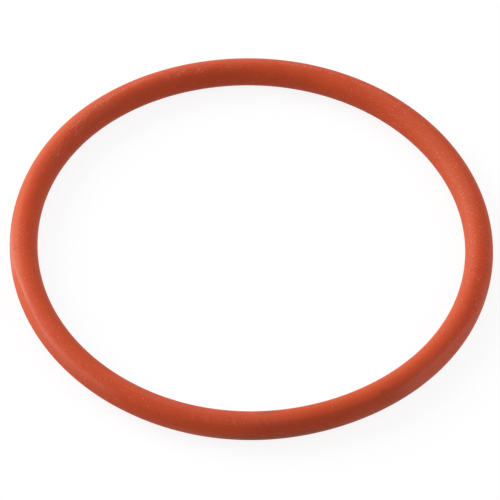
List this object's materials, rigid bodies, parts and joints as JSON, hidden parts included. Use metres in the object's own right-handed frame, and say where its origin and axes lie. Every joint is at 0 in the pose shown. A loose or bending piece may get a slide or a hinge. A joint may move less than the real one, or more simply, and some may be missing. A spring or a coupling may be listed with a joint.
{
  "type": "o-ring",
  "caption": "Round-section silicone sealing ring, moulded in one piece, with a fine mould line round its outer shoulder.",
  "frame": {"origin": "centre of the ring, on its axis and halfway up its section", "axes": "+Z along the ring's axis, X and Y across the ring, which lies flat"},
  "size_m": [0.0606, 0.0606, 0.0036],
  "materials": {
    "silicone_rubber": "matte moulded silicone with a fine powdery bloom"
  },
  "bodies": {
    "root": {"o_ring": "silicone_rubber"}
  },
  "joints": []
}
